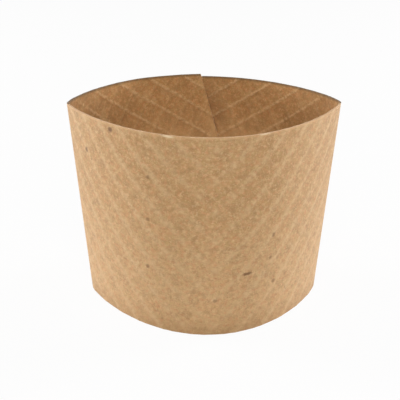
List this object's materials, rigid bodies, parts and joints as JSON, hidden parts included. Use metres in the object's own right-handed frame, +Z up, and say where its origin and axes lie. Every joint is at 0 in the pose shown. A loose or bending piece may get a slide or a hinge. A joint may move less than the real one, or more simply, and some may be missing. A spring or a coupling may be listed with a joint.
{
  "type": "coffee cup sleeve",
  "caption": "Tapered kraft paperboard sleeve for a hot drink cup, embossed with a diamond net, folded at both sides and lapped at the back.",
  "frame": {"origin": "on the table, under the middle of the bounding box of the standing sleeve", "axes": "+Z up, from the narrow lower edge to the wide upper edge; +X from the left fold to the right fold; -Y towards the front, +Y towards the back with the lap"},
  "size_m": [0.0807, 0.0708, 0.0607],
  "materials": {
    "kraft_board": "matt uncoated kraft board"
  },
  "bodies": {
    "root": {"sleeve": "kraft_board"}
  },
  "joints": []
}
